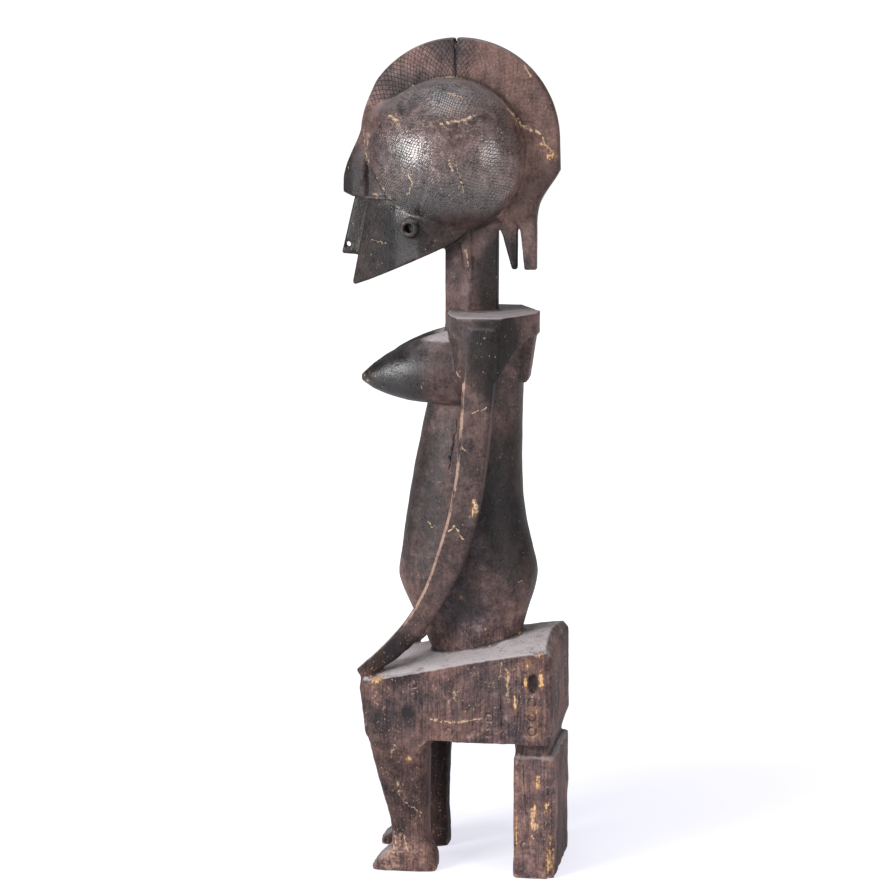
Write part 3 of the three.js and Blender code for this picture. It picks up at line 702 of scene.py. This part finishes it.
def worn_down(mesh, sizes):
    """Rounds the edges, softens the joins between forms, and adds tool marks, grain and chips."""
    points = points_of(mesh)
    links = Neighbours(mesh)
    points = links.smoothed(points, sizes.edge_passes, 0.5)
    x, y, z = points.T
    soft = np.zeros(len(points))
    for centre, radii, amount in SOFTENED:
        reach = np.linalg.norm((points - np.array(centre)) / np.array(radii), axis=1)
        soft = np.maximum(soft, amount * (1 - rise(reach, 0.7, 1.1)))
    points = links.smoothed(points, JOIN_PASSES, 0.5 * soft[:, None])
    write_points(mesh, points)
    flat = np.exp(-((bend_of(mesh, links) / FLAT_BEND) ** 2))
    points = links.smoothed(points, FLAT_PASSES, 0.5 * flat[:, None])
    write_points(mesh, points)
    normals = normals_of(mesh)
    hollows = lattice(points * (1, 1, 0.6), 11, 31) + 0.5 * lattice(points, 5.5, 32)
    low = 1 - rise(z, 196, 214)
    depth = sizes.facet_depth / MM * (0.45 + 0.8 * low) * (1 - 0.6 * rise(z, 470, 480))
    grain = lattice(points * (1, 1, 0.045), 1.9, 41) + 0.6 * lattice(points * (1, 1, 0.09), 3.6, 42)
    level = 1 - rise(np.abs(normals[:, 2]), 0.5, 0.8)
    shift = depth * hollows + sizes.grain_depth / MM * grain * low * level
    for centre, radii, chip, _ in CHIPS:
        shift -= chip * patch(points, centre, radii, 0.5, 4, 11)
    back, down = y - CHEEK_TOP[0], z - CHEEK_TOP[1]
    past_lobe = CHEEK_WAY[0] * back + CHEEK_WAY[1] * down
    cheek = rise(back, -1, 1) * rise(z, CHEEK_FOOT, CHEEK_FOOT + 2) * rise(past_lobe, 0.8, 2.8)
    shift -= CHEEK_DEPTH * cheek * rise(np.abs(x), 10, 15)
    write_points(mesh, points + normals * shift[:, None])
    return links


def bend_of(mesh, links):
    """How far each vertex stands out from its surroundings, in millimetres; below 0 in a hollow."""
    points = points_of(mesh)
    normals = normals_of(mesh)
    near = links.smoothed(points, 10, 0.6)
    bend = ((points - near) * normals).sum(axis=1)
    return links.smoothed(bend[:, None], 2, 0.5)[:, 0]


def thinned(obj, triangles):
    """Fewer, larger faces where the surface is plain."""
    faces = sum(len(p.vertices) - 2 for p in obj.data.polygons)
    if faces > triangles:
        fewer = obj.modifiers.new("fewer", "DECIMATE")
        fewer.ratio = triangles / faces
        applied(obj)
    return obj


def cracks():
    """Thin wedges that open the drying cracks: each follows a wandering line on one face of the wood."""
    work = bmesh.new()
    for path, across, inward, width, depth in CRACKS:
        across, inward = Vector(across), Vector(inward)
        rings = []
        for i, p in enumerate(path):
            share = i / (len(path) - 1)
            half = width * (0.25 + 0.75 * math.sin(math.pi * min(share + 0.12, 1))) / 2
            middle = Vector(p) + across * 0.5 * math.sin(i * 2.4)
            corners = (middle + across * half, middle - across * half, middle + inward * depth)
            corners = (corners[0] - inward * 3, corners[1] - inward * 3, corners[2])
            rings.append([work.verts.new(c * MM) for c in corners])
        for a, b in zip(rings, rings[1:]):
            for i in range(3):
                work.faces.new((a[i], a[(i + 1) % 3], b[(i + 1) % 3], b[i]))
        work.faces.new(rings[0][::-1])
        work.faces.new(rings[-1])
    bmesh.ops.recalc_face_normals(work, faces=work.faces)
    mesh = bpy.data.meshes.new("cracks")
    work.to_mesh(mesh)
    work.free()
    obj = bpy.data.objects.new("cracks", mesh)
    bpy.context.scene.collection.objects.link(obj)
    return obj


def stamp_tree():
    """Geometry nodes that press columns of rings into the surface."""
    tree = bpy.data.node_groups.new("ring_stamps", "GeometryNodeTree")
    face = tree.interface
    face.new_socket("Geometry", in_out="INPUT", socket_type="NodeSocketGeometry")
    for name in ("Ring radius", "Groove"):
        face.new_socket(name, in_out="INPUT", socket_type="NodeSocketFloat")
    face.new_socket("Material", in_out="INPUT", socket_type="NodeSocketMaterial")
    face.new_socket("Geometry", in_out="OUTPUT", socket_type="NodeSocketGeometry")
    graph = Graph(tree)
    given = graph.node("NodeGroupInput").outputs
    join = graph.node("GeometryNodeJoinGeometry")
    for sign in (1, -1):
        columns = []
        for top, count, step in SIDE_COLUMNS:
            columns.append(((sign * (SEAT_SIDE_X + RAY_START), *top), (sign, 0, 0), count, step))
        top, count, step = POST_COLUMN
        columns.append(((sign * (POST_SIDE_X + RAY_START), *top), (sign, 0, 0), count, step))
        (x, y, z), count, step = REAR_COLUMN
        columns.append(((sign * x, y, z), (0, 1, 0), count, step))
        for start, way, count, step in columns:
            line = graph.node(
                "GeometryNodeMeshLine",
                {"Count": count, "Start Location": [c * MM for c in start], "Offset": (0, 0, step * MM)},
                mode="OFFSET",
            )
            found = graph.node(
                "GeometryNodeRaycast",
                {
                    "Target Geometry": given["Geometry"],
                    "Ray Direction": [-c for c in way],
                    "Ray Length": RAY_LENGTH * MM,
                },
            )
            placed = graph.node(
                "GeometryNodeSetPosition",
                {"Geometry": line.outputs[0], "Position": found.outputs["Hit Position"]},
            )
            turn = graph.node("FunctionNodeAlignRotationToVector", {"Vector": way}, axis="Z")
            big = graph.node(
                "GeometryNodeCurvePrimitiveCircle",
                {"Radius": given["Ring radius"], "Resolution": 24},
                mode="RADIUS",
            )
            small = graph.node(
                "GeometryNodeCurvePrimitiveCircle",
                {"Radius": given["Groove"], "Resolution": 6},
                mode="RADIUS",
            )
            ring = graph.node(
                "GeometryNodeCurveToMesh",
                {"Curve": big.outputs[0], "Profile Curve": small.outputs[0]},
            )
            copies = graph.node(
                "GeometryNodeInstanceOnPoints",
                {
                    "Points": placed.outputs[0],
                    "Instance": ring.outputs[0],
                    "Rotation": turn.outputs[0],
                },
            )
            tree.links.new(copies.outputs[0], join.inputs[0])
    real = graph.node("GeometryNodeRealizeInstances", {"Geometry": join.outputs[0]})
    cut = graph.node("GeometryNodeMeshBoolean", {"Mesh 1": given["Geometry"]}, operation="DIFFERENCE")
    if "MANIFOLD" in cut.bl_rna.properties["solver"].enum_items:
        cut.solver = "MANIFOLD"
    tree.links.new(real.outputs[0], cut.inputs["Mesh 2"])
    whole = graph.node("GeometryNodeRealizeInstances", {"Geometry": cut.outputs["Mesh"]})
    finish = graph.node(
        "GeometryNodeSetMaterial",
        {"Geometry": whole.outputs[0], "Material": given["Material"]},
    )
    smooth = graph.node("GeometryNodeSetShadeSmooth", {"Geometry": finish.outputs[0]})
    graph.node("NodeGroupOutput", {"Geometry": smooth.outputs[0]})
    return tree


def give_inputs(modifier, values):
    """Sets a nodes modifier's inputs by the identifiers of their sockets."""
    for item in modifier.node_group.interface.items_tree:
        if item.item_type == "SOCKET" and item.in_out == "INPUT" and item.name in values:
            modifier[item.identifier] = values[item.name]


FIELD_NAMES = (
    "dust",
    "worn",
    "crease",
    "raw",
    "rubbed",
    "stain_and_crack_shade",
    "lobe",
    "crest",
    "rough",
    "gloss",
    "warm",
    "crust",
    "tone",
)


def wood_material(finish):
    """Old dark carved wood: patina, grain, hatching, worn edges, chips, dust and crust, with painted shade and
    painted light mixed into its colour.
    """
    material = bpy.data.materials.new("old_dark_wood")
    material.use_nodes = True
    g = Graph(material.node_tree)
    place = g.node("ShaderNodeTexCoord").outputs["Object"]
    mm = g.stretched(place, (1000, 1000, 1000))
    split = g.node("ShaderNodeSeparateXYZ", {0: mm}).outputs
    y, z = Value(g, split[1]), Value(g, split[2])
    field = {name: g.attribute(name) for name in FIELD_NAMES}

    large = g.noise(mm, 48, 3)
    middle = g.noise(mm, 10, 4, 0.6)
    fine = g.noise(mm, 2.4, 3, 0.65)
    dots = g.noise(g.stretched(mm, (1, 1, 0.7)), 1.5, 2, 0.6, 0.6)
    grain = g.noise(g.stretched(mm, (1, 1, 0.055)), 1.5, 3, 0.6)
    slow_grain = g.noise(g.stretched(mm, (1, 1, 0.1)), 6, 3)

    # Incised hatching: two families of lines that run round the lobe, and two that fan over the crest
    bend = (g.noise(mm, 30, 1) - 0.5) * 18 + (g.noise(mm, 6, 1) - 0.5) * 0.8
    pitch = finish.hatch_pitch / MM
    u, v = y - LOBE[1], z - LOBE[2]

    def lines(along, step, width):
        spot = g.math("FRACT", along / step)
        away = g.math("ABSOLUTE", spot - 0.5) * step
        return 1 - g.smooth(away, width * 0.35, width)

    def slanted(angle, sway):
        turn = math.radians(angle)
        return u * math.sin(turn) - v * math.cos(turn) + bend * sway

    broken = g.smooth(g.noise(mm, 6, 3), 0.36, 0.56) * 0.85 + 0.15
    lobe_lines = g.larger(
        lines(slanted(52, 1.0), pitch, 0.34),
        lines(slanted(-12, -0.8), pitch * 1.2, 0.3),
    )
    lobe_lines = lobe_lines * broken * field["lobe"]
    cu, cv = y - CREST[1], z - CREST[2]
    out = g.math("SQRT", cu * cu + cv * cv)
    round_way = g.math("ARCTAN2", cv, cu) * 72
    crest_lines = g.larger(
        lines(round_way + out * 0.75 + bend * 0.5, finish.crest_pitch / MM, 0.3),
        lines(round_way - out * 0.75 + bend * 0.4, finish.crest_pitch * 1.15 / MM, 0.3),
    )
    crest_lines = crest_lines * field["crest"]
    hatch = g.larger(lobe_lines, crest_lines)

    # Colour
    tone = large * 0.5 + middle * 0.35 + fine * 0.15 + field["warm"] * 0.3
    colour = g.colour(g.smooth(tone, 0.47, 0.9), finish.black_wood, finish.brown_wood)
    # Patches of dull grey film, partly painted sheen
    film = g.smooth(middle - field["rough"] * 0.06, 0.5, 0.75) * 0.4
    colour = g.colour(film, colour, finish.grey_film_and_sheen)
    streak = (grain - 0.5) * (0.6 + field["rough"] * 1.5) + (slow_grain - 0.5) * 0.8
    streak = streak + (fine - 0.5) * 1.5 + (middle - 0.5) + 1
    # Scaled by the region factor, which is mostly painted shade and painted light
    colour = g.vector("SCALE", {0: colour, "Scale": streak * field["tone"]}, 0)
    thin = g.smooth(field["rubbed"] * 0.75 + (middle - 0.5) * 1.0 + (fine - 0.5) * 1.9, 0.52, 0.85)
    colour = g.colour(thin * 0.7, colour, finish.worn_edge_and_highlight)
    # Worn edges, and the painted highlight along the front edges of the arms
    rim = g.smooth(field["worn"] + (middle - 0.5) * 0.9 + (fine - 0.5) * 0.5, 0.3, 0.85)
    colour = g.colour(rim * 0.8, colour, finish.worn_edge_and_highlight)
    film_dust = field["dust"] * g.smooth(middle * 0.6 + fine * 0.4, 0.2, 0.5)
    colour = g.colour(film_dust * 0.85, colour, finish.dust)
    # Painted shade: near black in the hollows and along the rims of the hair lobes
    dark = g.smooth(field["crease"] + (fine - 0.5) * 0.4, 0.25, 0.9)
    colour = g.colour(dark * 0.6, colour, (0.014, 0.011, 0.010))
    crust = g.smooth(field["crust"] + (fine - 0.5) * 1.1, 0.35, 0.75)
    colour = g.colour(crust * 0.6, colour, finish.crust)
    # Dark stains, and painted shade down the two cracks
    colour = g.colour(field["stain_and_crack_shade"] * 0.9, colour, (0.010, 0.009, 0.011))
    clump = g.smooth(g.noise(mm, 13, 3, 0.6), 0.46, 0.64)
    fleck = g.smooth(dots + clump * 0.07 + field["rough"] * 0.03 - 0.02, 0.70, 0.76)
    colour = g.colour(fleck * 0.75, colour, finish.crust)
    halo = g.smooth(field["raw"], 0.05, 0.5) * g.smooth(middle, 0.35, 0.6)
    colour = g.colour(halo * 0.55, colour, (0.21, 0.105, 0.055))
    ragged = (fine - 0.5) * 1.7 + (grain - 0.5) * 1.5 + (middle - 0.5) * 0.8
    raw = g.smooth(field["raw"] + ragged, 0.56, 0.8)
    fresh = g.colour(g.smooth(grain * 0.6 + fine * 0.4, 0.38, 0.62), (0.20, 0.115, 0.06), finish.raw_wood)
    colour = g.colour(raw * 0.92, colour, fresh)
    colour = g.colour(hatch * 0.62, colour, (0.009, 0.008, 0.009))

    # Scratches and drips, on lines that wander a little; depth into the wood counts for less
    sway = g.node("ShaderNodeTexNoise", {"Vector": mm, "Scale": 0.25, "Detail": 2.0}).outputs["Color"]
    sway = g.vector("SUBTRACT", {0: sway, 1: (0.5, 0.5, 0.5)}, 0)
    sway = g.vector("SCALE", {0: sway, "Scale": 5.0}, 0)
    spot = g.stretched(g.vector("ADD", {0: mm, 1: sway}, 0), (0.3, 1, 1))
    scratch = None
    for path, width, share in SCRATCHES:
        ends = [Vector((x * 0.3, y, z)) for x, y, z in path]
        for a, b in zip(ends, ends[1:]):
            mark = g.near_line(spot, a, b, width) * share
            scratch = mark if scratch is None else g.larger(scratch, mark)
    scratch = scratch * g.smooth(fine, 0.4, 0.56)
    colour = g.colour(scratch, colour, (0.42, 0.29, 0.18))

    # Roughness and polish
    dull = g.larger(film_dust, raw)
    roughness = 0.6 + (middle - 0.5) * 0.35 + (fine - 0.5) * 0.15
    roughness = roughness - field["gloss"] * 0.22 + field["rough"] * 0.06
    roughness = roughness + dull * 0.35 + hatch * 0.2 - rim * 0.08
    roughness = g.math("MINIMUM", g.larger(roughness, 0.2), 0.95)
    polish = field["gloss"] * (1 - dull * 0.8) * g.smooth(fine * 0.6 + middle * 0.4, 0.3, 0.48)

    # Relief
    relief = (
        (grain - 0.5) * (0.12 + field["rough"] * 0.5)
        + (fine - 0.5) * (0.34 + field["rough"] * 0.46 - field["lobe"] * 0.12)
        + (middle - 0.5) * 0.35
        - hatch * 0.5
        - scratch * 0.15
        - raw * 0.25
        - fleck * 0.1
    )
    bump = g.node("ShaderNodeBump", {"Strength": 1.0, "Distance": 1.0 * MM, "Height": relief})
    surface = {"Base Color": colour, "Roughness": roughness, "Normal": bump.outputs[0]}
    dull_wood = g.node("ShaderNodeBsdfPrincipled", {**surface, "Specular IOR Level": 0.13})
    surface["Roughness"] = g.larger(roughness - 0.13, 0.22)
    bright_wood = g.node("ShaderNodeBsdfPrincipled", {**surface, "Specular IOR Level": 0.8})
    both = g.node("ShaderNodeMixShader", {0: polish, 1: dull_wood.outputs[0], 2: bright_wood.outputs[0]})
    g.node("ShaderNodeOutputMaterial", {"Surface": both.outputs[0]})
    return material


class FIGURE_OT_carving(bpy.types.Operator):
    """Makes the carved figure: worn edges, tool marks, ring stamps, chips and the old wood finish"""

    bl_idname = "figure.carving"
    bl_label = "Carved figure"

    def execute(self, context):
        sizes = context.scene.carving_sizes
        obj = blank("carved_figure", sizes.carving_step)
        links = worn_down(obj.data, sizes)

        # The bend is measured in even cells, and the finished mesh takes it from the nearest of them
        bend = bend_of(obj.data, links)
        tree = KDTree(len(bend))
        for i, p in enumerate(points_of(obj.data)):
            tree.insert(p, i)
        tree.balance()

        thinned(obj, sizes.triangles)
        wedges = cracks()
        opened = obj.modifiers.new("cracks", "BOOLEAN")
        opened.operation = "DIFFERENCE"
        opened.solver = "MANIFOLD"
        opened.object = wedges
        applied(obj)
        bpy.data.meshes.remove(wedges.data)
        stamps = obj.modifiers.new("stamps", "NODES")
        stamps.node_group = stamp_tree()
        material = wood_material(context.scene.wood_finish)
        give_inputs(
            stamps,
            {"Ring radius": sizes.ring_radius, "Groove": sizes.ring_groove, "Material": material},
        )
        applied(obj)

        mesh = obj.data
        points = points_of(mesh)
        nearest = np.array([tree.find(p)[1] for p in points])
        for name, values in carving_fields(points, normals_of(mesh), bend[nearest]).items():
            layer = mesh.attributes.new(name, "FLOAT", "POINT")
            layer.data.foreach_set("value", values.astype(np.float32))
        mesh.materials.clear()
        mesh.materials.append(material)
        mesh.polygons.foreach_set("material_index", np.zeros(len(mesh.polygons), np.int32))
        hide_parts(NODE)
        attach(obj, BODY)
        return {"FINISHED"}


def make_floor(setup, collection):
    """A plain pale floor with a little light of its own, so that it stays white to its edge."""
    mesh = bpy.data.meshes.new("floor")
    half = FLOOR_HALF
    corners = [(-half, -half, 0), (half, -half, 0), (half, half, 0), (-half, half, 0)]
    mesh.from_pydata(corners, [], [(0, 1, 2, 3)])
    floor = bpy.data.objects.new("floor", mesh)
    collection.objects.link(floor)
    paint = bpy.data.materials.new("pale_floor")
    paint.use_nodes = True
    g = Graph(paint.node_tree)
    place = g.node("ShaderNodeTexCoord").outputs["Object"]
    shaded = [0.985 * c for c in setup.floor_colour]
    tint = g.colour(g.noise(place, 0.4, 2), setup.floor_colour, shaded)
    reach = Value(g, g.vector("LENGTH", {0: place}, "Value"))
    # Painted shade: the floor's own light is dimmer and bluer near the figure, so that the shadows there come
    # out pale blue-grey
    glow = g.colour(g.smooth(reach, 0.2, 1.1), (0.67, 0.67, 0.75), (1.0, 1.0, 1.0))
    shader = g.node(
        "ShaderNodeBsdfPrincipled",
        {
            "Base Color": tint,
            "Roughness": 0.8,
            "Emission Color": glow,
            "Emission Strength": setup.floor_glow,
        },
    )
    g.node("ShaderNodeOutputMaterial", {"Surface": shader.outputs[0]})
    mesh.materials.append(paint)
    return floor


def make_room(setup):
    """Soft light from all round, and a white background for the camera alone."""
    world = bpy.data.worlds.new("room")
    world.use_nodes = True
    g = Graph(world.node_tree)
    light = g.node(
        "ShaderNodeBackground",
        {"Color": (0.985, 0.985, 1.0, 1.0), "Strength": setup.sky_strength},
    )
    white = g.node("ShaderNodeBackground", {"Color": (1.0, 1.0, 1.0, 1.0), "Strength": 1.05})
    seen = g.node("ShaderNodeLightPath").outputs["Is Camera Ray"]
    both = g.node("ShaderNodeMixShader", {0: seen, 1: light.outputs[0], 2: white.outputs[0]})
    g.node("ShaderNodeOutputWorld", {"Surface": both.outputs[0]})
    return world


def make_lamps(setup, collection):
    """Three round soft lights: each with the way it stands from the figure, its distance and its size."""
    aim = Vector((0, 0, 0.36))
    for name, way, distance, size, power in (
        ("light_left", (0.76, -0.63, 0.22), 1.7, 0.8, setup.left_power),
        ("light_right", (0.60, 0.80, 0.20), 1.9, 0.6, setup.right_power),
        ("light_top", (0.35, -0.1, 1.0), 1.7, 1.0, setup.top_power),
    ):
        data = bpy.data.lights.new(name, "AREA")
        data.shape = "DISK"
        data.size = size
        data.energy = power
        lamp = bpy.data.objects.new(name, data)
        away = Vector(way).normalized()
        lamp.location = aim + away * distance
        lamp.rotation_euler = away.to_track_quat("Z", "Y").to_euler()
        collection.objects.link(lamp)


def make_camera(setup, collection):
    """The camera where the photograph was taken from."""
    camera = bpy.data.cameras.new("camera")
    camera.sensor_width = 36
    camera.lens = setup.lens
    eye = bpy.data.objects.new("camera", camera)
    turn, tilt = math.radians(CAMERA_TURN), math.radians(CAMERA_TILT)
    eye.location = CAMERA_PLACE
    level = math.cos(tilt)
    look = Vector((-math.sin(turn) * level, math.cos(turn) * level, -math.sin(tilt)))
    eye.rotation_euler = look.to_track_quat("-Z", "Y").to_euler()
    collection.objects.link(eye)
    return eye


class FIGURE_OT_stage(bpy.types.Operator):
    """Makes the pale floor, the soft lights and the camera"""

    bl_idname = "figure.stage"
    bl_label = "Stage and camera"

    def execute(self, context):
        scene = context.scene
        setup = scene.stage_setup
        scene.view_settings.view_transform = "Standard"
        make_floor(setup, scene.collection)
        scene.world = make_room(setup)
        make_lamps(setup, scene.collection)
        scene.camera = make_camera(setup, scene.collection)
        return {"FINISHED"}


class FIGURE_PT_panel(bpy.types.Panel):
    bl_label = "Seated figure"
    bl_space_type = "VIEW_3D"
    bl_region_type = "UI"
    bl_category = "Figure"

    def draw(self, context):
        for group, operator in (
            (context.scene.carving_sizes, "figure.carving"),
            (context.scene.wood_finish, None),
            (context.scene.stage_setup, "figure.stage"),
        ):
            box = self.layout.box()
            for name in group.bl_rna.properties.keys():
                if name not in ("rna_type", "name"):
                    box.prop(group, name)
            if operator:
                box.operator(operator)


CLASSES = (
    SizesOfCarving,
    FinishOfWood,
    SetupOfStage,
    FIGURE_OT_carving,
    FIGURE_OT_stage,
    FIGURE_PT_panel,
)


def register():
    for cls in CLASSES:
        bpy.utils.register_class(cls)
    bpy.types.Scene.carving_sizes = bpy.props.PointerProperty(type=SizesOfCarving)
    bpy.types.Scene.wood_finish = bpy.props.PointerProperty(type=FinishOfWood)
    bpy.types.Scene.stage_setup = bpy.props.PointerProperty(type=SetupOfStage)


def unregister():
    del bpy.types.Scene.stage_setup
    del bpy.types.Scene.wood_finish
    del bpy.types.Scene.carving_sizes
    for cls in reversed(CLASSES):
        bpy.utils.unregister_class(cls)


def main():
    register()
    bpy.ops.figure.carving()
    bpy.ops.figure.stage()


if __name__ == "__main__":
    main()
